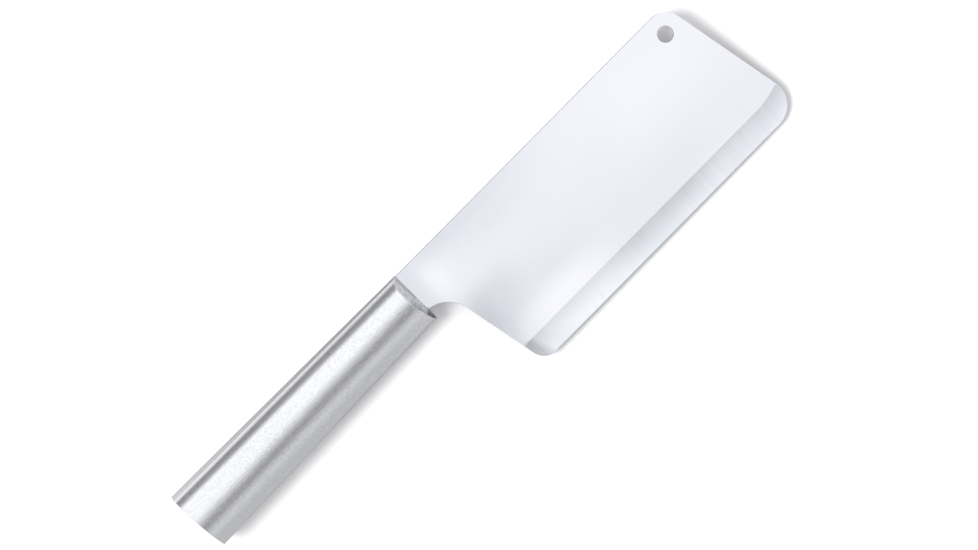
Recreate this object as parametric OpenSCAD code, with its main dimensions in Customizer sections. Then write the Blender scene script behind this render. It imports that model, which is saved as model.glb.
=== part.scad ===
// Kitchen cleaver: a stamped sheet blade with a hidden tang, and a metal handle cast around the tang.
// The knife lies on its side as it rests on a table. Lengths are in millimetres, angles in degrees.
// Its own frame has +X from the butt to the tip, +Y towards the spine and +Z up out of the flat,
// with the origin where the spine meets the front of the handle.

/* [Blade] */
// Length from the front of the handle to the furthest point of the tip
blade_len = 153; // [140:0.5:170]
// Height from the spine to the cutting edge
blade_h = 63; // [58:0.5:72]
// Thickness of the polished blade
blade_t = 2; // [1.6:0.1:3]
// Metal that the polishing takes off each face, which the tang keeps
polish_depth = 0.05; // [0.02:0.01:0.1]
// Lean of the tip line and the heel line from square to the spine
blade_lean = 10.6; // [6:0.2:14]
// Distance from the front of the handle to the sharp heel corner, along the edge
heel_setback = 17.25; // [15:0.25:22]
// Radius of the corner between the spine and the tip line, round the hanging hole
spine_corner_r = 8; // [5:0.5:10]
// Radius of the corner between the tip line and the cutting edge
edge_corner_r = 10; // [7:0.5:16]
// Radius of the heel corner
heel_corner_r = 6.4; // [3:0.2:9]
// Height of the blade's neck, where it enters the handle
neck_h = 17.3; // [16:0.1:19]
// Radius of the finger notch between the handle and the heel
notch_r = 12.5; // [11:0.25:14]

/* [Cutting edge] */
// Height of the hollow-ground strip
grind_h = 10; // [7:0.5:13]
// Radius of the grinding wheel that hollows the strip
wheel_r = 90; // [75:5:110]
// Thickness that the grinding leaves at the edge
edge_t = 0.4; // [0.3:0.05:0.6]

/* [Hanging hole] */
// Radius of the hanging hole
hole_r = 3.175; // [2.5:0.025:4]
// Distance from the furthest point of the tip back to the hole's centre
hole_from_tip = 16.8; // [14:0.1:20]
// Distance from the spine down to the hole's centre
hole_from_spine = 8; // [7:0.1:11]

/* [Handle] */
// Length of the handle along its upper side
handle_len = 118.5; // [105:0.5:130]
// Width of the handle at the butt
butt_w = 26.9; // [24:0.1:30]
// Width of the handle at the front
front_w = 22.6; // [22:0.1:26]
// Thickness of the handle at the butt
butt_t = 18; // [15:0.25:20]
// Thickness of the handle at the front
front_t = 15.5; // [14:0.25:18]
// Height of the handle's upper side above the line of the spine, at the butt
butt_rise = 1.6; // [0.5:0.1:3]
// Height of the handle's upper side above the line of the spine, at the front
front_rise = 0.4; // [0.2:0.1:1]
// Lean of the butt's end from square
butt_lean = 2.75; // [0:0.25:5]
// Crown of the butt's end across its width
butt_crown = 0.26; // [0.15:0.01:0.6]
// Length that the front's two bevels run back at the thickest place
bevel_len = 3.4; // [2:0.1:6]

/* [Handle section] */
// Radius along the upper crest, where the two halves of the mould meet
crest_r = 0.5; // [0.4:0.1:1]
// Radius of the shoulder between the upper side and the broad facet
shoulder_r = 5; // [4:0.1:6]
// Radius of the swell below the broad facet, its thickest place
ridge_r = 16; // [12:0.5:17]
// Radius along the belly
belly_r = 2.6; // [1.5:0.1:3.5]

/* [Tang] */
// Length of the tang inside the handle
tang_len = 92; // [80:1:100]
// Step from the spine down to the tang
tang_step = 3.6; // [2.5:0.1:5]
// Width of the tang at the mouth of the handle
tang_front_w = 13; // [11:0.5:13.5]
// Width of the tang at its end
tang_end_w = 9; // [6:0.5:10]
// Radius of each hole that the casting flows through
lock_hole_r = 2.6; // [2:0.1:3]
// Distance from the mouth to the first lock hole, and between the two
lock_pitch = 32; // [26:1:36]

/* [Mouth] */
// Gap between the casting's lip and the polished blade, where the raw sheet shows
mouth_gap = 0.9; // [0.3:0.1:1.2]
// Length of that gap along the mouth
mouth_gap_len = 10.4; // [6:0.1:12]
// Distance from the spine down to the gap's upper end
mouth_gap_in = 0.5; // [0.4:0.1:1]
// Radius of the shut-off pocket below the neck
pocket_r = 1.85; // [1.4:0.05:1.9]
// Depth of that pocket
pocket_depth = 5; // [3:0.5:8]

/* [Hidden] */
$fn = 64;

// Overrun of every cutter past what it cuts
over = 1;
// Thickness of the slices that the handle is drawn between
slice = 0.01;

// Shares of the width from the upper side, and of the half thickness, that set the section's corners
shoulder_place_share = 0.2305;
shoulder_top_share = 0.962;
butt_ridge_share = 0.455;
front_ridge_share = 0.378;
// Straight steps that each corner is drawn with, from the crest to the belly
corner_steps = [2, 8, 10, 4];

// Leaning lines of the blade
lean_run = tan(blade_lean);
tip_round_x = blade_len - edge_corner_r;
tip_spine_x = tip_round_x + edge_corner_r / cos(blade_lean) - (blade_h - edge_corner_r) * lean_run;
tip_edge_x = tip_spine_x + blade_h * lean_run;

// The notch touches the heel line and leaves the neck its height
notch_y = -(neck_h + notch_r);
notch_x = heel_setback - (blade_h + notch_y) * lean_run - notch_r / cos(blade_lean);
notch_end_x = notch_x + notch_r * cos(blade_lean);
notch_end_y = notch_y + notch_r * sin(blade_lean);

// Grinding wheel, touching the grind line and the edge of one face
grind_drop = (blade_t - edge_t) / 2;
grind_chord = norm([grind_h, grind_drop]);
wheel_rise = sqrt(pow(wheel_r, 2) - pow(grind_chord / 2, 2));
wheel_y = -blade_h + grind_h / 2 - wheel_rise * grind_drop / grind_chord;
wheel_z = (blade_t + edge_t) / 4 + wheel_rise * grind_h / grind_chord;

// Tang, as thick as the raw sheet
tang_t = blade_t + polish_depth * 2;
tang_end_top = tang_step + (tang_front_w - tang_end_w) / 2;
tang_mid_y = -(tang_step + tang_front_w / 2);

// Butt's end, rounded about a far centre
butt_crown_r = (pow(butt_w / 2, 2) + pow(butt_crown, 2)) / (2 * butt_crown);

// The knife rests on the swell of the handle's lower face and on the edge near the tip.
// The swell's two places are centres of its rounding, and the edge's place is raised by the same radius.
rest_butt = [-handle_len, butt_rise - butt_w * butt_ridge_share, ridge_r - butt_t / 2];
rest_front = [0, front_rise - front_w * front_ridge_share, ridge_r - front_t / 2];
rest_tip = [tip_round_x, -blade_h, ridge_r - edge_t / 2];
rest_up = cross(rest_tip - rest_butt, rest_front - rest_butt);
rest_roll = atan2(rest_up.y, rest_up.z);
rest_pitch = -atan2(rest_up.x, norm([rest_up.y, rest_up.z]));

// A point of the knife's own frame after the turn to its rest, about X and then about Y
function rolled(p) = [
    p.x,
    p.y * cos(rest_roll) - p.z * sin(rest_roll),
    p.y * sin(rest_roll) + p.z * cos(rest_roll)
];
function pitched(p) = [
    p.x * cos(rest_pitch) + p.z * sin(rest_pitch),
    p.y,
    p.z * cos(rest_pitch) - p.x * sin(rest_pitch)
];
function turned(p) = pitched(rolled(p));

// Ends and sides of the resting knife, which set the middle of its footprint
rest_tip_end = turned([blade_len, -(blade_h - edge_corner_r), 0]);
rest_butt_end = turned([-handle_len, butt_rise, 0]);
rest_edge_side = turned([tip_round_x, -blade_h, -edge_t / 2]);
rest_move = [
    -(rest_tip_end.x + rest_butt_end.x) / 2,
    -(rest_butt_end.y + rest_edge_side.y) / 2,
    ridge_r - turned(rest_front).z
];

// Puts a piece of the knife's own frame where it lies at rest
module at_rest() {
    translate(rest_move)
        rotate([rest_roll, rest_pitch, 0])
            children();
}

// Cutter that rounds the corner p between the ways to points a and b with radius r
module corner_cutter(p, a, b, r) {
    way_a = (a - p) / norm(a - p);
    way_b = (b - p) / norm(b - p);
    half = acos(way_a * way_b) / 2;
    middle = (way_a + way_b) / norm(way_a + way_b);
    touch_a = p + way_a * r / tan(half);
    touch_b = p + way_b * r / tan(half);
    centre = p + middle * r / sin(half);
    difference() {
        polygon([
            touch_a,
            touch_a + (touch_a - centre) * over / r,
            p - middle * over / sin(half),
            touch_b + (touch_b - centre) * over / r,
            touch_b
        ]);
        translate(centre)
            circle(r);
    }
}

// Sharp corners of the blade's outline, and where the notch leaves the heel line
tip_spine = [tip_spine_x, 0];
tip_edge = [tip_edge_x, -blade_h];
heel = [heel_setback, -blade_h];
notch_end = [notch_end_x, notch_end_y];

// Outline of the blade in front of the handle, before its corners are rounded
module blade_outline() {
    difference() {
        polygon([[0, 0], tip_spine, tip_edge, heel, notch_end, [0, notch_end_y]]);
        translate([notch_x, notch_y])
            circle(notch_r);
        translate([blade_len - hole_from_tip, -hole_from_spine])
            circle(hole_r);
    }
}

// Outline of the tang: a narrow step at the mouth, then a taper to a round end, with the two lock holes
module tang_outline() {
    end_x = -(tang_len - tang_end_w / 2);
    difference() {
        union() {
            polygon([
                [0, -mouth_gap_in],
                [-mouth_gap, -mouth_gap_in],
                [-mouth_gap, -tang_step],
                [end_x, -tang_end_top],
                [end_x, -(tang_end_top + tang_end_w)],
                [0, -(tang_step + tang_front_w)]
            ]);
            translate([end_x, tang_mid_y])
                circle(tang_end_w / 2);
        }
        for (i = [1, 2])
            translate([-i * lock_pitch, tang_mid_y])
                circle(lock_hole_r);
    }
}

// Grinding wheel along one face, its seam turned away from the blade
module grinding_pass() {
    pass_len = blade_len + over * 2;
    translate([pass_len - over, wheel_y, wheel_z])
        rotate([0, -90, 0])
            cylinder(r = wheel_r, h = pass_len, $fn = 360);
}

// Tang alone, which also shapes the casting's cavity
module tang_solid() {
    translate([0, 0, -tang_t / 2])
        linear_extrude(tang_t)
            tang_outline();
}

// Sheet in front of the handle, with its two ground faces
module ground_sheet() {
    difference() {
        translate([0, 0, -blade_t / 2])
            linear_extrude(blade_t)
                blade_outline();
        grinding_pass();
        mirror([0, 0, 1])
            grinding_pass();
    }
}

module blade() {
    color("gainsboro")
        at_rest() {
            difference() {
                ground_sheet();
                translate([0, 0, -blade_t])
                    linear_extrude(blade_t * 2) {
                        corner_cutter(tip_spine, [0, 0], tip_edge, spine_corner_r);
                        corner_cutter(tip_edge, tip_spine, heel, edge_corner_r);
                        corner_cutter(heel, tip_edge, notch_end, heel_corner_r);
                    }
            }
            tang_solid();
        }
}

// Rounded corners down one side of the handle's section, w wide and t thick, with its upper side at 0.
// Each is a place across, a height out of the flat, and a radius.
function section_corners(w, t, ridge_share) = [
    [-crest_r, 0, crest_r],
    [-w * shoulder_place_share, t / 2 * shoulder_top_share - shoulder_r, shoulder_r],
    [-w * ridge_share, t / 2 - ridge_r, ridge_r],
    [belly_r - w, 0, belly_r]
];

// Outward direction of the straight run that touches two corners, as an angle from the upper side.
// A corner too close to a larger one for such a run meets it along the line of their centres.
function run_turn(a, b) =
    let (way = [b.x - a.x, b.y - a.y])
        atan2(-way.x, way.y) + asin(max(-1, min(1, (a.z - b.z) / norm(way))));

// Points down one side of the section
function section_side(corners) =
    let (turns = [0, for (i = [0:2]) run_turn(corners[i], corners[i + 1]), 180])
        [
            for (i = [0:3])
                for (k = [0:corner_steps[i]])
                    let (turn = turns[i] + (turns[i + 1] - turns[i]) * k / corner_steps[i])
                        [
                            corners[i].x + corners[i].z * cos(turn),
                            corners[i].y + corners[i].z * sin(turn)
                        ]
        ];

// The whole section, both sides
module section(w, t, ridge_share) {
    side = section_side(section_corners(w, t, ridge_share));
    polygon([
        for (p = side) p,
        for (i = [len(side) - 2:-1:1]) [side[i].x, -side[i].y]
    ]);
}

// A thin slice of the handle at x, with its upper side at height rise
module handle_slice(x, rise, w, t, ridge_share) {
    translate([x, rise, 0])
        rotate([90, 0, 90])
            linear_extrude(slice)
                section(w, t, ridge_share);
}

// Limits of the casting seen from the side: the blunt nose and the two bevels behind it
module bevel_limit() {
    nose = tang_t / 2;
    bevel_run = bevel_len / (front_t / 2 - nose);
    side_out = max(butt_t, front_t);
    bevel_end = -(side_out - nose) * bevel_run;
    translate([0, over, 0])
        rotate([90, 0, 0])
            linear_extrude(butt_w + over * 2 + butt_rise)
                polygon([
                    [0, nose],
                    [bevel_end, side_out],
                    [-handle_len - over, side_out],
                    [-handle_len - over, -side_out],
                    [bevel_end, -side_out],
                    [0, -nose]
                ]);
}

// Limit of the casting at the butt: a large round post, leaning, whose near side is the butt's end
module butt_limit() {
    translate([-handle_len, butt_rise, 0])
        rotate(butt_lean)
            translate([butt_crown_r, -butt_w / 2, -butt_t])
                cylinder(r = butt_crown_r, h = butt_t * 2, $fn = 360);
}

module handle() {
    color("silver")
        at_rest()
            difference() {
                intersection() {
                    hull() {
                        handle_slice(-handle_len - slice, butt_rise, butt_w, butt_t, butt_ridge_share);
                        handle_slice(-slice, front_rise, front_w, front_t, front_ridge_share);
                    }
                    bevel_limit();
                    butt_limit();
                }
                tang_solid();
                // Gap between the lip and the blade
                translate([-mouth_gap, -mouth_gap_in - mouth_gap_len, -front_t])
                    cube([mouth_gap + over, mouth_gap_len, front_t * 2]);
                // Pocket below the neck
                translate([-pocket_depth, -neck_h - pocket_r, 0])
                    rotate([0, 90, 0])
                        cylinder(r = pocket_r, h = pocket_depth + over);
            }
}

blade();
handle();
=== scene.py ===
import math

import bmesh
import bpy
import numpy as np
from mathutils import Matrix, Vector, geometry, noise


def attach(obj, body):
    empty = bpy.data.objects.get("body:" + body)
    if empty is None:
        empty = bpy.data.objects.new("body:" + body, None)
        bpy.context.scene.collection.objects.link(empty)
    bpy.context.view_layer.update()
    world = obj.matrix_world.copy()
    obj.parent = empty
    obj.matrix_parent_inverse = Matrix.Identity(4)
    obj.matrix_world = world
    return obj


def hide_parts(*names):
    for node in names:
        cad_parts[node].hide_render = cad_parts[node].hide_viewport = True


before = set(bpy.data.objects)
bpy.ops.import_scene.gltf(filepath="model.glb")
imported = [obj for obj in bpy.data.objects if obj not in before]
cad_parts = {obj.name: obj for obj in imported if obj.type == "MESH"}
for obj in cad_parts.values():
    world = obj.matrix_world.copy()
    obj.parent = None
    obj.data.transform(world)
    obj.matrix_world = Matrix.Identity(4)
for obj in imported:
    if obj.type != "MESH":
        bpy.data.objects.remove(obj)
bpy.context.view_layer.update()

# Blade
# A light cleaver blade of stainless sheet, blanked in one piece with its tang, polished to a soft satin
# and then hollow-ground along the cutting edge on a large wheel. The tang keeps the dark raw sheet, which
# shows only in the gap at the handle's mouth.
mm = 0.001
blade_len = 153
blade_h = 63
blade_t = 2
polish_depth = 0.05
blade_lean = 10.6
heel_setback = 17.25
spine_corner_r = 8
edge_corner_r = 10
heel_corner_r = 6.4
neck_h = 17.3
notch_r = 12.5
grind_h = 10
wheel_r = 90
edge_t = 0.4
hole_r = 3.175
hole_from_tip = 16.8
hole_from_spine = 8
tang_len = 92
tang_step = 3.6
tang_front_w = 13
tang_end_w = 9
lock_hole_r = 2.6
lock_pitch = 32
mouth_gap = 0.9
mouth_gap_in = 0.5

# Where the knife lies, on the swell of the handle's lower face and on the edge near the tip
rest_roll = math.radians(5.960013)
rest_pitch = math.radians(0.726426)
rest_move = Vector((-17.214781, 30.523671, 8.640688)) * mm
lying = (
    Matrix.Translation(rest_move)
    @ Matrix.Rotation(rest_pitch, 4, "Y")
    @ Matrix.Rotation(rest_roll, 4, "X")
)

# Rounding that tumbling leaves along every sheared edge, and how finely outlines are divided
rim_r = 0.1
rim_share = 0.4
rim_turns = [math.radians(a) for a in (0, 22, 45, 67, 90)]
guard = 0.12
outline_step = 1.5
arc_step = 0.45
hole_step = 0.35
lock_hole_step = 0.8

# Rows of corners within the flat faces, and how close these corners may come to an outline
first_strip_row = 0.6
first_face_row = 1.2
strip_row_step = 0.7
line_step = 0.75
line_inset = 0.8
spot_gap = 0.5
line_gap = 0.4

# The ground strip turns up towards the tip, where the blade leaves the wheel
sweep_start = 140
sweep_r = 36

# Shallow dishing left by straightening the sheet: place, reach along and across, and height
dishes = [
    (17, -25, 11, 8, 0.13),
    (17, -5, 12, 6, -0.10),
    (42, -44, 17, 7, -0.13),
    (100, -32, 45, 22, 0.11),
]


def arc(centre, radius, start, end, step=arc_step):
    """Points along an arc between two angles in degrees."""
    count = max(4, math.ceil(radius * math.radians(abs(end - start)) / step))
    turns = [math.radians(start + (end - start) * i / count) for i in range(count + 1)]
    return [centre + radius * Vector((math.cos(a), math.sin(a))) for a in turns]


def corner_arc(before, corner, after, radius):
    """Points round a corner of an outline."""
    way_in = (before - corner).normalized()
    way_out = (after - corner).normalized()
    half = way_in.angle(way_out) / 2
    centre = corner + (way_in + way_out).normalized() * radius / math.sin(half)
    first = corner + way_in * radius / math.tan(half) - centre
    last = corner + way_out * radius / math.tan(half) - centre
    start = math.degrees(math.atan2(first.y, first.x))
    turn = (math.degrees(math.atan2(last.y, last.x)) - start + 180) % 360 - 180
    return arc(centre, radius, start, start + turn)


def divided(loop, step):
    """A closed loop with its long runs divided, none longer than the step."""
    points = []
    for here, there in zip(loop, loop[1:] + loop[:1]):
        count = max(1, math.ceil((there - here).length / step))
        points += [here.lerp(there, i / count) for i in range(count)]
    return points


def inset(loop, depths):
    """A loop moved to its right-hand side, each point by its own depth."""
    moved = []
    for i, point in enumerate(loop):
        way_in = (point - loop[i - 1]).normalized()
        way_out = (loop[(i + 1) % len(loop)] - point).normalized()
        side = Vector((way_in.y + way_out.y, -way_in.x - way_out.x))
        moved.append(point + side * depths[i] / (1 + way_in.dot(way_out)))
    return moved


def inside(spots, loop):
    """Whether each spot lies within a loop."""
    x, y = np.array(spots).T
    found = np.zeros(len(x), bool)
    for a, b in zip(loop, loop[1:] + loop[:1]):
        if a.y != b.y:
            crosses = (a.y > y) != (b.y > y)
            found ^= crosses & (x < (b.x - a.x) * (y - a.y) / (b.y - a.y) + a.x)
    return found


def triangles(loops, lines, spots):
    """Triangles between an outer loop and the holes in it, with edges along the lines, through the spots."""
    points = []
    edges = []
    for loop in loops:
        first = len(points)
        edges += [(first + i, first + (i + 1) % len(loop)) for i in range(len(loop))]
        points += loop
    for line in lines:
        first = len(points)
        edges += [(first + i, first + i + 1) for i in range(len(line) - 1)]
        points += line
    points += spots
    made = geometry.delaunay_2d_cdt(points, edges, [], 0, 1e-7)
    faces = [tuple(face) for face in made[2]]
    middles = [sum((made[0][i] for i in face), Vector((0, 0))) / 3 for face in faces]
    keep = inside(middles, loops[0])
    for hole in loops[1:]:
        keep &= ~inside(middles, hole)
    assert len(made[0]) == len(points)
    return points, [face for face, kept in zip(faces, keep) if kept]


def clear_of(spots, loops, gap):
    """The spots within the first loop and outside the holes, none closer to a loop's points than the gap."""
    keep = inside(spots, loops[0])
    for hole in loops[1:]:
        keep &= ~inside(spots, hole)
    places = np.array(spots)
    for loop in loops:
        for point in loop:
            keep &= np.hypot(places[:, 0] - point.x, places[:, 1] - point.y) > gap
    return [spot for spot, kept in zip(spots, keep) if kept]


def rows_between(mesh, lower, upper, material=0):
    """Faces between two closed rows of corners."""
    for i in range(len(lower)):
        j = (i + 1) % len(lower)
        face = mesh.faces.new((lower[i], lower[j], upper[j], upper[i]))
        face.material_index = material


def finished_piece(name, mesh, sharp_turn, materials):
    """A piece of the knife from its mesh, laid where the knife lies."""
    bmesh.ops.recalc_face_normals(mesh, faces=mesh.faces)
    for face in mesh.faces:
        face.smooth = True
    for edge in mesh.edges:
        if edge.calc_face_angle(0) > sharp_turn:
            edge.smooth = False
    bmesh.ops.transform(mesh, matrix=lying @ Matrix.Scale(mm, 4), verts=mesh.verts)
    data = bpy.data.meshes.new(name)
    mesh.to_mesh(data)
    mesh.free()
    for material in materials:
        data.materials.append(material)
    piece = bpy.data.objects.new(name, data)
    bpy.context.scene.collection.objects.link(piece)
    even = piece.modifiers.new("even_shading", "WEIGHTED_NORMAL")
    even.keep_sharp = True
    return piece


lean_run = math.tan(math.radians(blade_lean))
lean_cos = math.cos(math.radians(blade_lean))
lean_sin = math.sin(math.radians(blade_lean))
tip_round_x = blade_len - edge_corner_r
tip_spine_x = tip_round_x + edge_corner_r / lean_cos - (blade_h - edge_corner_r) * lean_run
tip_spine = Vector((tip_spine_x, 0))
tip_edge = Vector((tip_spine_x + blade_h * lean_run, -blade_h))
heel = Vector((heel_setback, -blade_h))
notch_y = -(neck_h + notch_r)
notch_x = heel_setback - (blade_h + notch_y) * lean_run - notch_r / lean_cos
notch = Vector((notch_x, notch_y))
notch_end = notch + notch_r * Vector((lean_cos, lean_sin))
notch_start = math.degrees(math.acos(-notch_x / notch_r))
spine_start = Vector((0, 0))

# The tang tapers from the mouth to a round end
tang_end_x = -(tang_len - tang_end_w / 2)
tang_mid_y = -(tang_step + tang_front_w / 2)
tang_bottom = -(tang_step + tang_front_w)
outline = [
    spine_start,
    *corner_arc(spine_start, tip_spine, tip_edge, spine_corner_r),
    *corner_arc(tip_spine, tip_edge, heel, edge_corner_r),
    *corner_arc(tip_edge, heel, notch_end, heel_corner_r),
    *arc(notch, notch_r, blade_lean, notch_start),
    Vector((0, tang_bottom)),
    *arc(Vector((tang_end_x, tang_mid_y)), tang_end_w / 2, 270, 90),
    Vector((-mouth_gap, -tang_step)),
    Vector((-mouth_gap, -mouth_gap_in)),
    Vector((0, -mouth_gap_in)),
]
outline = divided(outline, outline_step)
hole_at = Vector((blade_len - hole_from_tip, -hole_from_spine))
hang_hole = arc(hole_at, hole_r, 0, 360, hole_step)[:-1]
lock_holes = [
    arc(Vector((-i * lock_pitch, tang_mid_y)), lock_hole_r, 0, 360, lock_hole_step)[:-1]
    for i in (1, 2)
]

# Wheel that touches the grind line and the edge of one face
grind_drop = (blade_t - edge_t) / 2
grind_chord = math.hypot(grind_h, grind_drop)
wheel_rise = math.sqrt(wheel_r**2 - (grind_chord / 2) ** 2)
wheel_y = -blade_h + grind_h / 2 - wheel_rise * grind_drop / grind_chord
wheel_z = (blade_t + edge_t) / 4 + wheel_rise * grind_h / grind_chord


def sweep_rise(x):
    """How far the ground strip has turned up at a place along the blade."""
    past = max(0, x - sweep_start)
    return sweep_r - math.sqrt(sweep_r**2 - past**2)


def half_thickness(point):
    """Half the sheet's thickness at a place: raw tang, polished face or ground strip."""
    if point.x < 0:
        return blade_t / 2 + polish_depth * min(1, -point.x / guard)
    y = point.y - sweep_rise(point.x)
    if y > -blade_h + grind_h:
        return blade_t / 2
    return max(edge_t / 2, wheel_z - math.sqrt(wheel_r**2 - (y - wheel_y) ** 2))


def dishing(point):
    """How far the middle of the sheet stands above its plane."""
    height = 0
    for x, y, along, across, depth in dishes:
        height += depth * math.exp(-(((point.x - x) / along) ** 2) - ((point.y - y) / across) ** 2)
    return height


def placed(mesh, point, height):
    """A corner of the sheet, above or below its middle."""
    return mesh.verts.new((point.x, point.y, dishing(point) + height))


mesh = bmesh.new()
guards = []
top_rows = []
bottom_rows = []
for loop in (outline, hang_hole, *lock_holes):
    radii = [min(rim_r, rim_share * half_thickness(point)) for point in loop]
    above = []
    below = []
    for turn in rim_turns:
        row = inset(loop, [r * (1 - math.cos(turn)) for r in radii])
        heights = [half_thickness(p) - r * (1 - math.sin(turn)) for p, r in zip(row, radii)]
        above.append([placed(mesh, p, h) for p, h in zip(row, heights)])
        below.append([placed(mesh, p, -h) for p, h in zip(row, heights)])
    rows_between(mesh, below[0], above[0])
    for rows in (above, below):
        for lower, upper in zip(rows, rows[1:]):
            rows_between(mesh, lower, upper)
    guards.append(inset(loop, [r + guard for r in radii]))
    top_rows.append(above[-1])
    bottom_rows.append(below[-1])

columns = np.arange(-tang_len, blade_len, outline_step)
strip_rows = np.arange(first_strip_row, grind_h, strip_row_step) * -1
face_rows = np.arange(first_face_row, blade_h - grind_h, outline_step)
spots = [
    Vector((x, grind_h - blade_h + sweep_rise(x) + height))
    for height in (*strip_rows, *face_rows)
    for x in columns
]
spots = clear_of(spots, guards, spot_gap)
grind_line = [
    Vector((x, grind_h - blade_h + sweep_rise(x)))
    for x in np.arange(heel_setback, blade_len, line_step)
]
grind_line = clear_of(grind_line, guards, line_gap)
line_levels = np.arange(-tang_bottom - line_inset, mouth_gap_in + line_inset, -line_step) * -1
polish_lines = [[Vector((x, y)) for y in line_levels] for x in (0, -guard)]
points, faces = triangles(guards, [grind_line, *polish_lines], spots)
line_first = sum(len(loop) for loop in guards)
on_line = range(line_first, line_first + len(grind_line))
for side, rows in ((1, top_rows), (-1, bottom_rows)):
    corners = [placed(mesh, point, side * half_thickness(point)) for point in points]
    for face in faces:
        mesh.faces.new([corners[i] for i in face])
    first = 0
    for row in rows:
        rows_between(mesh, row, corners[first : first + len(row)])
        first += len(row)
    line_corners = {corners[i] for i in on_line}
    for edge in {e for corner in line_corners for e in corner.link_edges}:
        if edge.other_vert(edge.verts[0]) in line_corners and edge.verts[0] in line_corners:
            edge.smooth = False


class Field:
    """A value that varies over a surface: the socket that gives it, in the node tree it belongs to."""

    def __init__(self, tree, socket=None):
        self.tree = tree
        self.socket = socket

    def node(self, kind, settings=None, inputs=None, output=0):
        """A new node with its settings and then its sockets' values or links."""
        made = self.tree.nodes.new(kind)
        for name, value in (settings or {}).items():
            if name == "stops":
                marks = made.color_ramp.elements
                marks.remove(marks[1])
                marks[0].position = value[0][0]
                marks[0].color = value[0][1]
                for place, colour in value[1:]:
                    marks.new(place).color = colour
            else:
                setattr(made, name, value)
        for name, value in (inputs or {}).items():
            if isinstance(value, Field):
                self.tree.links.new(value.socket, made.inputs[name])
            else:
                made.inputs[name].default_value = value
        return Field(self.tree, made.outputs[output] if made.outputs else None)

    def math(self, operation, *values):
        return self.node("ShaderNodeMath", {"operation": operation}, dict(enumerate(values)))

    def __add__(self, other):
        return self.math("ADD", self, other)

    def __sub__(self, other):
        return self.math("SUBTRACT", self, other)

    def __rsub__(self, other):
        return self.math("SUBTRACT", other, self)

    def __mul__(self, other):
        return self.math("MULTIPLY", self, other)

    def __truediv__(self, other):
        return self.math("DIVIDE", self, other)

    __radd__ = __add__

    def between(self, low, high):
        """A soft step from 0 at one value to 1 at another."""
        return self.node(
            "ShaderNodeMapRange",
            {"interpolation_type": "SMOOTHSTEP"},
            {"Value": self, "From Min": low, "From Max": high},
        )

    def colours(self, low, high):
        """One colour where this is 0 and another where it is 1."""
        return self.node("ShaderNodeMix", {"data_type": "RGBA"}, {0: self, 6: low, 7: high}, 2)

    def spot(self, x, y, along, across):
        """A soft round spot on this place, 1 in its middle."""
        off_x, off_y, _ = self.axes()
        square = (off_x - x) * (off_x - x) * (1 / along**2) + (off_y - y) * (off_y - y) * (1 / across**2)
        return self.math("EXPONENT", square * -1)

    def axes(self):
        """The three numbers of this vector."""
        split = self.node("ShaderNodeSeparateXYZ", None, {"Vector": self})
        return [Field(self.tree, socket) for socket in split.socket.node.outputs]

    def grain(self, stretch, detail, roughness):
        """Uneven marks on this place, stretched by the lengths of one mark along each axis."""
        fitted = self.node(
            "ShaderNodeVectorMath",
            {"operation": "MULTIPLY"},
            {0: self, 1: [1 / length for length in stretch]},
        )
        return self.node(
            "ShaderNodeTexNoise",
            None,
            {"Vector": fitted, "Scale": 1.0, "Detail": detail, "Roughness": roughness},
        )

    def bump(self, depth):
        """A normal from this height, whose full range is as deep as the depth in millimetres."""
        inputs = {"Height": self, "Strength": 1.0, "Distance": depth * mm}
        return self.node("ShaderNodeBump", None, inputs)


def bare_metal(name):
    """A new material, and the place on the piece in millimetres that its marks follow."""
    material = bpy.data.materials.new(name)
    material.use_nodes = True
    material.node_tree.nodes.clear()
    place = Field(material.node_tree).node("ShaderNodeTexCoord", None, None, "Object")
    lifted = {"Vector": place, "Location": rest_move, "Rotation": (rest_roll, rest_pitch, 0)}
    along = place.node("ShaderNodeMapping", {"vector_type": "TEXTURE"}, lifted)
    return material, place.node(
        "ShaderNodeVectorMath", {"operation": "SCALE"}, {0: along, "Scale": 1 / mm}
    )


def plated(place, colour, roughness, normal):
    """Ends a metal's nodes in its shader."""
    shader = place.node(
        "ShaderNodeBsdfPrincipled",
        None,
        {"Base Color": colour, "Metallic": 1.0, "Roughness": roughness, "Normal": normal},
    )
    place.node("ShaderNodeOutputMaterial", None, {"Surface": shader})


# Painted reflections: places painted brighter or duller into the satin's colour, by place, reach along and
# across, and strength
painted_reflection_spots = [
    (10, -12, 5, 8, 0.3),
    (1, -10, 5, 14, -0.5),
    (32, -1, 26, 3, -0.35),
    (17, -36, 8, 10, -0.75),
    (27, -32, 8, 9, -0.3),
    (14, -44, 4, 10, -0.6),
    (42, -53, 18, 9, 0.65),
    (36, -6, 24, 7, -0.3),
    (120, -16, 34, 20, 0.2),
    (122, -55, 14, 5, 0.22),
    (62, -60, 14, 7, 0.1),
]

# Colours of the satin faces, of the ground strip, of the painted shade at their heel, and of the raw sheet
dull_steel = (0.64, 0.652, 0.693, 1)
bright_steel = (0.797, 0.801, 0.824, 1)
heel_shade_steel = (0.42, 0.435, 0.47, 1)
dull_strip = (0.552, 0.577, 0.645, 1)
bright_strip = (0.948, 0.972, 1.0, 1)
heel_shade_strip = (0.53, 0.543, 0.57, 1)
raw_steel = (0.42, 0.425, 0.44, 1)

# How softly the raw sheet and the ground strip begin
raw_soft = 0.05
strip_soft = 0.1

# Painted shade at the heel: a soft place on the face, and a ragged, leaning patch of painted darker
# reflection on the strip
heel_shade_spot = (12.5, -38, 6.5, 10)
heel_patch_lean = 0.3
heel_patch_ragged = 4
heel_patch_end = heel_setback + 9
heel_patch_full = heel_setback + 4

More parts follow.
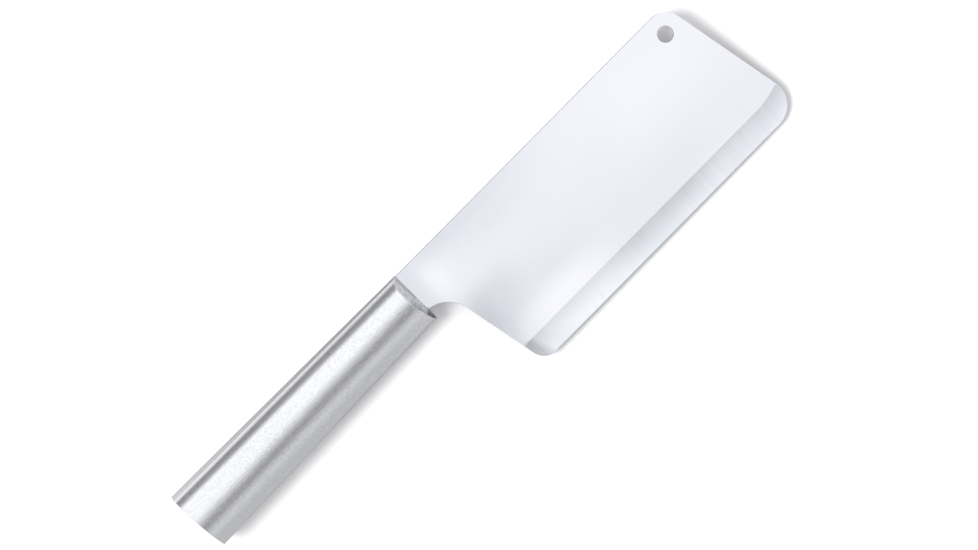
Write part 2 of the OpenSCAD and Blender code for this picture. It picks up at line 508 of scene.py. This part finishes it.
# Satin steel, the ground strip's marks square to the edge, and the raw sheet of the tang
steel, place = bare_metal("satin_steel")
x, y, _ = place.axes()
raw = x.between(raw_soft, -raw_soft)
past_sweep = x.math("MAXIMUM", x - sweep_start, 0)
swept = sweep_r - x.math("SQRT", sweep_r**2 - past_sweep * past_sweep)
strip = (y - swept).between(grind_h - blade_h + strip_soft, grind_h - blade_h - strip_soft)
wheel_marks = place.grain((0.3, 9, 9), 3, 0.6)
broad_marks = place.grain((2.2, 30, 30), 2, 0.5)
satin = place.grain((0.5, 0.35, 0.5), 3, 0.6)
clouds = place.grain((26, 18, 20), 2, 0.4)
# The ragged, leaning patch of painted darker reflection at the strip's heel end
heel_patch_shade = x + (y + blade_h) * heel_patch_lean + broad_marks * heel_patch_ragged
heel_patch_shade = heel_patch_shade.between(heel_patch_end, heel_patch_full)
# Random tone from the clouds, plus the painted brighter and duller reflections
tone_and_reflection = 0.5 + (clouds - 0.5) * 0.25
for spot_x, spot_y, along, across, strength in painted_reflection_spots:
    tone_and_reflection = tone_and_reflection + place.spot(spot_x, spot_y, along, across) * strength
tone_and_reflection = tone_and_reflection.between(-0.1, 1.1)
steel_colour = tone_and_reflection.colours(dull_steel, bright_steel)
# Painted shade: the face darkened towards the heel
heel_face_shade = place.spot(*heel_shade_spot) * 0.5
steel_colour = heel_face_shade.colours(steel_colour, heel_shade_steel)
# The strip's colour follows its grinding marks and the same painted reflections
strip_marks_and_reflection = tone_and_reflection + 0.08 + (broad_marks - 0.5) * 0.35 + (wheel_marks - 0.5) * 0.25
strip_colour = strip_marks_and_reflection.colours(dull_strip, bright_strip)
steel_colour = strip.colours(steel_colour, strip_colour)
# Painted darker reflection on the strip's heel end
steel_colour = (strip * heel_patch_shade * 0.85).colours(steel_colour, heel_shade_strip)
steel_colour = raw.colours(steel_colour, raw_steel)
steel_rough = 0.27 + (clouds - 0.5) * 0.08 + (satin - 0.5) * 0.05 + strip * 0.03 + raw * 0.2
steel_height = satin * 0.25 + strip * (wheel_marks * 0.8 + broad_marks - satin * 0.25)
plated(place, steel_colour, steel_rough, steel_height.bump(0.004))

blade = finished_piece("blade", mesh, math.radians(60), [steel])
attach(blade, "root")
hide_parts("blade")

# Handle
# One aluminium casting, poured round the tang in a two-part mould and locked to it through two holes. Its
# body, a rounded teardrop in section, is linished lengthwise to a bright brushed finish, while the
# V-shaped mouth stays as cast.
handle_len = 118.5
butt_w = 26.9
front_w = 22.6
butt_t = 18
front_t = 15.5
butt_rise = 1.6
front_rise = 0.4
butt_lean = math.radians(2.75)
butt_crown = 0.26
bevel_len = 3.4
crest_r = 0.5
shoulder_r = 5
ridge_r = 16
belly_r = 2.6
shoulder_place = 0.2305
shoulder_top = 0.962
butt_ridge = 0.455
front_ridge = 0.378
nose_half = blade_t / 2 + polish_depth
bevel_run = bevel_len / (front_t / 2 - nose_half)
mouth_gap_len = 10.4
mouth_gap_end = mouth_gap_in + mouth_gap_len
arc_steps = (3, 12, 16, 8)
run_steps = (5, 6, 8)
stations = 56
rim_in = 0.3
butt_rim_in = 0.4
rim_steps = 4
rim_tries = 5
cast_strips = 2

# Faint waves that linishing leaves in the body: their depth, and their length along and across
wave_depth = 0.03
wave_along = 22
wave_across = 8

# The nose between the two bevels narrows below the neck, where the mould shuts off on the blade's edge
nose_narrows = (-17.2, -19.2)
lip_softness = 0.3

# Lumps and pits of the cast skin, which begins past the smooth nose
cast_depth = 0.2
cast_begins = (0.8, 1.6)
lump_size = 1.1
pit_size = 0.45

# A pocket on each side of the parting web below the neck, in width and height
web_half = 0.35
pocket_depth = 4
pocket_corner_r = 0.2
pocket_step = 0.3
pocket_corners = [
    (-18.2, web_half),
    (-18.2, 1.9),
    (-18.7, 2.6),
    (-20.0, 2.3),
    (-20.85, 1.4),
    (-21.05, web_half),
]

# Rows of corners within the butt's end and the mouth, and how close they may come to an outline
butt_step = 1.0
butt_gap = 0.4
mouth_step = 0.28
mouth_columns = 26
mouth_spot_gap = 0.14
gap_end_half = 0.04
row_gap = 0.1


def half_section(width, thickness, rise, ridge_share):
    """Half the handle's section from crest to belly: places in (Y, Z) and the outward ways there."""
    corners = [
        (Vector((rise - crest_r, 0)), crest_r),
        (Vector((rise - width * shoulder_place, thickness / 2 * shoulder_top - shoulder_r)), shoulder_r),
        (Vector((rise - width * ridge_share, thickness / 2 - ridge_r)), ridge_r),
        (Vector((rise - width + belly_r, 0)), belly_r),
    ]
    turns = [0]
    for (here, here_r), (there, there_r) in zip(corners, corners[1:]):
        way = (there - here).normalized()
        lean = math.asin((here_r - there_r) / (there - here).length)
        out = Vector((way.y, -way.x)) * math.cos(lean) + way * math.sin(lean)
        turns.append(math.atan2(out.y, out.x))
    turns.append(math.pi)
    places = []
    ways = []
    for i, (centre, radius) in enumerate(corners):
        for step in range(arc_steps[i] + 1):
            turn = turns[i] + (turns[i + 1] - turns[i]) * step / arc_steps[i]
            way = Vector((math.cos(turn), math.sin(turn)))
            places.append(centre + way * radius)
            ways.append(way)
        if i < len(run_steps):
            turn = turns[i + 1]
            way = Vector((math.cos(turn), math.sin(turn)))
            run_end = corners[i + 1][0] + way * corners[i + 1][1]
            run_start = places[-1]
            for step in range(1, run_steps[i]):
                places.append(run_start.lerp(run_end, step / run_steps[i]))
                ways.append(way)
    return places, ways


def whole_section(*sizes):
    """The whole section, both halves."""
    rounds = []
    for half in half_section(*sizes):
        rounds.append(half + [Vector((p.x, -p.y)) for p in half[-2:0:-1]])
    return rounds


butt_places, butt_ways = whole_section(butt_w, butt_t, butt_rise, butt_ridge)
front_places, front_ways = whole_section(front_w, front_t, front_rise, front_ridge)
butt_crown_r = ((butt_w / 2) ** 2 + butt_crown**2) / (2 * butt_crown)
butt_post = Vector((-handle_len, butt_rise)) + Matrix.Rotation(butt_lean, 2) @ Vector(
    (butt_crown_r, -butt_w / 2)
)


def butt_x(point):
    """Where the butt's end is, at a place of the section."""
    return butt_post.x - math.sqrt(butt_crown_r**2 - (point.x - butt_post.y) ** 2)


def eased(value, low, high):
    """A soft step from 0 at one value to 1 at another."""
    share = min(1, max(0, (value - low) / (high - low)))
    return share * share * (3 - 2 * share)


def mouth_x(point):
    """Where the casting ends in front, at a place of the section: two bevels, the gap and the cast skin."""
    nose = nose_half * (1 - eased(point.x, *nose_narrows))
    bevel = -max(0, abs(point.y) - nose) * bevel_run
    if -mouth_gap_end < point.x < -mouth_gap_in:
        apart = bevel + mouth_gap
        bevel = (bevel - mouth_gap - math.sqrt(apart**2 + lip_softness**2)) / 2
    lumps = noise.noise(Vector((point.x / lump_size, point.y / lump_size, 3)))
    pits = noise.noise(Vector((point.x / pit_size, point.y / pit_size, 8)))
    return bevel + cast_depth * (lumps + pits * 0.5) * eased(abs(point.y), *cast_begins)


def body_place(j, x):
    """A place on the body's ruled side."""
    share = (x + handle_len) / handle_len
    flat = butt_places[j].lerp(front_places[j], share)
    way = butt_ways[j].lerp(front_ways[j], share)
    spot = Vector((x / wave_along, flat.x / wave_across, flat.y / wave_across))
    wave = wave_depth * noise.noise(spot)
    return flat + way * wave, way


def curved(start, corner, end):
    """Points of a soft turn from start to end, round a corner."""
    shares = [i / rim_steps for i in range(rim_steps + 1)]
    return [start * (1 - s) ** 2 + corner * 2 * s * (1 - s) + end * s * s for s in shares]


mesh = bmesh.new()
lines = []
butt_loop = []
mouth_loop = []
for j in range(len(front_places)):
    flat, way = body_place(j, -handle_len)
    end_x = butt_x(flat)
    start, way = body_place(j, end_x + butt_rim_in)
    butt_edge = curved(
        Vector((end_x, *(flat - way * butt_rim_in))),
        Vector((end_x, *flat)),
        Vector((end_x + butt_rim_in, *start)),
    )
    rim_x = 0
    for _ in range(rim_tries):
        flat, way = body_place(j, rim_x)
        rim_x = mouth_x(flat)
    last, way = body_place(j, rim_x - rim_in)
    inner = flat - way * rim_in
    mouth_edge = curved(
        Vector((rim_x - rim_in, *last)),
        Vector((rim_x, *flat)),
        Vector((mouth_x(inner), *inner)),
    )
    body = []
    for i in range(1, stations):
        x = butt_edge[-1].x + (mouth_edge[0].x - butt_edge[-1].x) * i / stations
        body.append(Vector((x, *body_place(j, x)[0])))
    lines.append([mesh.verts.new(p) for p in butt_edge + body + mouth_edge])
    butt_loop.append(Vector(butt_edge[0].yz))
    mouth_loop.append(inner)
rows = list(zip(*lines))
skin, cast, ground = range(3)
first_cast = len(rows) - 1 - cast_strips
for i, (lower, upper) in enumerate(zip(rows, rows[1:])):
    rows_between(mesh, lower, upper, ground if i < 1 else cast if i >= first_cast else skin)

# Butt's end, ground flat
butt_levels = np.arange(-26, 2, butt_step)
butt_depths = np.arange(-9, 9.5, butt_step)
spots = [Vector((y, z)) for y in butt_levels for z in butt_depths]
spots = clear_of(spots, [butt_loop], butt_gap)
points, faces = triangles([butt_loop], [], spots)
corners = list(rows[0])
corners += [mesh.verts.new((butt_x(p), p.x, p.y)) for p in points[len(corners) :]]
for face in faces:
    mesh.faces.new([corners[i] for i in face]).material_index = ground

# Mouth, with its gap and pockets
pockets = []
for side in (1, -1):
    points = [Vector((y, z * side)) for y, z in pocket_corners]
    loop = []
    for before, corner, after in zip(points[-1:] + points[:-1], points, points[1:] + points[:1]):
        loop += corner_arc(before, corner, after, pocket_corner_r)
    pockets.append(divided(loop, pocket_step))
gap_rows = [
    -mouth_gap_in + gap_end_half,
    -mouth_gap_in - gap_end_half,
    -mouth_gap_end + gap_end_half,
    -mouth_gap_end - gap_end_half,
]
levels = [y for y in np.arange(-22, 0.4, mouth_step) if min(abs(y - g) for g in gap_rows) > row_gap]
depths = [side * (nose_half + mouth_step * i) for i in range(mouth_columns) for side in (1, -1)]
depths = [0, *depths, 0.5, -0.5]
spots = [Vector((y, z)) for y in levels + gap_rows for z in depths]
spots = clear_of(spots, [mouth_loop, *pockets], mouth_spot_gap)
points, faces = triangles([mouth_loop, *pockets], [], spots)
corners = list(rows[-1])
corners += [mesh.verts.new((mouth_x(p), p.x, p.y)) for p in points[len(corners) :]]
for face in faces:
    mesh.faces.new([corners[i] for i in face]).material_index = cast
first = len(mouth_loop)
for pocket in pockets:
    rim = corners[first : first + len(pocket)]
    floor = [mesh.verts.new((-pocket_depth, p.x, p.y)) for p in pocket]
    rows_between(mesh, rim, floor, cast)
    mesh.faces.new(floor).material_index = cast
    first += len(pocket)

# Brushed body
dull_aluminium = (0.615, 0.621, 0.638, 1)
bright_aluminium = (0.785, 0.791, 0.806, 1)
brushed, place = bare_metal("brushed_aluminium")
strokes = place.grain((0.8, 0.27, 0.27), 2, 0.7)
scuffs = place.grain((2.5, 0.6, 0.6), 3, 0.7)
long_strokes = place.grain((30, 0.6, 0.6), 2, 0.5)
patches = place.grain((20, 6, 6), 2, 0.5)
shade = (patches - 0.5) * 0.35 + (strokes - 0.5) * 2.8 + 0.5
aluminium = shade.colours(dull_aluminium, bright_aluminium)
brushed_rough = 0.15 + (strokes - 0.5) * 0.2
brushed_height = strokes + long_strokes * 0.3 + scuffs * 0.5
plated(place, aluminium, brushed_rough, brushed_height.bump(0.05))

# As-cast mouth, with painted shade down in its pockets and lower on its face, and a painted highlight by the
# lip
cast_dark = (0.36, 0.36, 0.37, 1)
cast_light = (0.82, 0.82, 0.83, 1)
pocket_shade_colour = (0.15, 0.15, 0.15, 1)
as_cast, place = bare_metal("cast_aluminium")
x, y, z = place.axes()
pits = place.grain((0.5, 0.5, 0.5), 4, 0.65)
stains = place.grain((0.9, 0.9, 0.9), 3, 0.5)
# Stains, with painted shade making the face darker below towards the pocket, and a painted highlight along
# the lip
stains_shade_and_highlight = stains + y.between(-14, -8) * 0.2 + x.between(-2.2, -1.0) * 0.15
cast_colour = stains_shade_and_highlight.between(0.4, 0.75).colours(cast_dark, cast_light)
# Painted shade down in the pockets
pocket_shade = y.between(-17.9, -18.3) * y.between(-21.2, -20.8) * z.math("ABSOLUTE", z).between(3.0, 2.4)
cast_colour = (pocket_shade * 0.85).colours(cast_colour, pocket_shade_colour)
plated(place, cast_colour, 0.42 + (pits - 0.5) * 0.25, pits.bump(0.12))

# Ground butt
butt_dull = (0.71, 0.71, 0.715, 1)
butt_bright = (0.78, 0.78, 0.785, 1)
ground_flat, place = bare_metal("ground_aluminium")
sweeps = place.grain((0.2, 0.2, 9), 3, 0.6)
dulled = place.grain((5, 5, 5), 2, 0.5)
butt_colour = dulled.colours(butt_dull, butt_bright)
plated(place, butt_colour, 0.33 + (sweeps - 0.5) * 0.15, sweeps.bump(0.012))

handle = finished_piece("handle", mesh, math.radians(38), [brushed, as_cast, ground_flat])
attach(handle, "root")
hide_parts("handle")

# Table and light
# A pale matt table under a plain soft studio: one broad lamp towards the butt and the spine, an even white
# surround that fills the shadows, and the soft boxes and darker gaps that polished metal shows.
table_half = 3
table_parts = 12

# The knife lies on a thin clear sheet that is not drawn, this far above the table, so that its whole
# outline throws a soft shadow
floor_gap = 2.5 * mm
floor_mesh = bmesh.new()
bmesh.ops.create_grid(floor_mesh, x_segments=table_parts, y_segments=table_parts, size=table_half)
floor_data = bpy.data.meshes.new("floor")
floor_mesh.to_mesh(floor_data)
floor_mesh.free()
floor = bpy.data.objects.new("floor", floor_data)
floor.location.z = -floor_gap
bpy.context.scene.collection.objects.link(floor)

# The table as it is seen, and as it lights the knife
table_seen = (0.95, 0.95, 0.955, 1)
table_plain = (0.66, 0.66, 0.67, 1)
card = bpy.data.materials.new("matt_card")
card.use_nodes = True
card.node_tree.nodes.clear()
card_field = Field(card.node_tree)
seen = card_field.node("ShaderNodeLightPath", None, None, "Is Camera Ray")
mirrored = Field(card.node_tree, seen.socket.node.outputs["Is Glossy Ray"])
table_place = card_field.node("ShaderNodeTexCoord", None, None, "Object")
along_table, across_table, _ = table_place.axes()

# Levels that metal mirrors from the table, by the place across it in tenths of a metre, and how much
# brighter they are by the butt. They hold a painted shadow of the knife: darker on the belly side and just
# beyond the spine, bright further out
table_butt_gain = 0.12
bands = [
    (0, 0.44),
    (0.1, 0.44),
    (0.13, 0.95),
    (0.305, 0.9),
    (0.32, 0.34),
    (0.39, 0.36),
    (0.44, 0.5),
    (0.52, 0.78),
    (0.65, 0.9),
    (0.9, 0.68),
]
stops = [(place, (level, level, level, 1)) for place, level in bands]
painted_table_reflection = card_field.node("ShaderNodeValToRGB", {"stops": stops}, {"Fac": across_table * 10})
near_butt = along_table.between(-0.05, -0.11) * table_butt_gain + 1
painted_table_reflection = card_field.node(
    "ShaderNodeVectorMath", {"operation": "SCALE"}, {0: painted_table_reflection, "Scale": near_butt}
)
card_colour = seen.colours(table_plain, table_seen)
card_colour = mirrored.colours(card_colour, painted_table_reflection)
matt = card_field.node("ShaderNodeBsdfDiffuse", None, {"Color": card_colour})
card_field.node("ShaderNodeOutputMaterial", None, {"Surface": matt})
floor_data.materials.append(card)

# Surround: plain light at the knife's ends, the fill on the table, and a white backdrop
end_light = (1.0, 1.0, 1.01, 1)
fill_light = (0.82, 0.82, 0.8282, 1)
white = (1, 1, 1, 1)
world = bpy.data.worlds.new("studio")
bpy.context.scene.world = world
world.use_nodes = True
world.node_tree.nodes.clear()
sky = Field(world.node_tree)
way = sky.node("ShaderNodeTexCoord", None, None, "Generated")
way_x, way_y, way_z = way.axes()
around = way_y.math("ARCTAN2", way_y, way_z) * (180 / math.pi)

# Soft boxes and gaps round the knife's length, by their turn from straight up towards the spine, and how
# much brighter they are a little way towards the tip and the butt
tip_gain = 0.19
butt_gain = 0.13
boxes = [
    (-90, 0.62),
    (-75, 0.76),
    (-62, 0.79),
    (-52, 0.53),
    (-44, 0.30),
    (-38, 0.35),
    (-32, 0.50),
    (-26, 0.74),
    (-20, 0.87),
    (-14, 0.99),
    (-9, 1.22),
    (-4, 1.37),
    (3, 1.33),
    (12, 1.13),
    (25, 0.84),
    (38, 0.48),
    (46, 0.36),
    (54, 0.39),
    (62, 0.41),
    (70, 0.33),
    (80, 0.31),
    (90, 0.46),
]
stops = [((turn + 90) / 180, (level, level, level * 1.02, 1)) for turn, level in boxes]
surround = sky.node("ShaderNodeValToRGB", {"stops": stops}, {"Fac": (around + 90) / 180})
nearer_ends = way_x.between(0.0, 0.12) * tip_gain + way_x.between(0.0, -0.08) * butt_gain + 1
surround = sky.node(
    "ShaderNodeVectorMath", {"operation": "SCALE"}, {0: surround, "Scale": nearer_ends}
)
at_ends = way_x.math("ABSOLUTE", way_x).between(0.45, 0.8)
surround = at_ends.colours(surround, end_light)
rays = sky.node("ShaderNodeLightPath")
is_camera = Field(world.node_tree, rays.socket.node.outputs["Is Camera Ray"])
is_glossy = Field(world.node_tree, rays.socket.node.outputs["Is Glossy Ray"])
shown = is_glossy.colours(fill_light, surround)
shown = is_camera.colours(shown, white)
backdrop = sky.node("ShaderNodeBackground", None, {"Color": shown, "Strength": 1.0})
sky.node("ShaderNodeOutputWorld", None, {"Surface": backdrop})

# Broad lamp, towards the butt and the spine
lamp_level = 0.54
lamp_spread = math.radians(28)
lamp_way = Vector((-0.66, 0.36, 1.0)).normalized()
lamp_data = bpy.data.lights.new("broad_lamp", "SUN")
lamp_data.energy = lamp_level * math.pi / lamp_way.z
lamp_data.angle = lamp_spread
lamp = bpy.data.objects.new("broad_lamp", lamp_data)
bpy.context.scene.collection.objects.link(lamp)
lamp.rotation_euler = lamp_way.to_track_quat("Z", "Y").to_euler()
lamp.visible_glossy = False

# Camera straight above, turned so that the knife points up to the right
lens = 150
film_width = 36
distance = 1.535
camera_turn = math.radians(-45.3)
picture_middle = Vector((25.1, -24.72, 0)) * mm
camera_data = bpy.data.cameras.new("camera")
camera_data.lens = lens
camera_data.sensor_width = film_width
camera = bpy.data.objects.new("camera", camera_data)
bpy.context.scene.collection.objects.link(camera)
camera.location = lying @ picture_middle + Vector((0, 0, distance))
camera.rotation_euler = (0, 0, camera_turn)
bpy.context.scene.camera = camera
bpy.context.scene.view_settings.view_transform = "Standard"
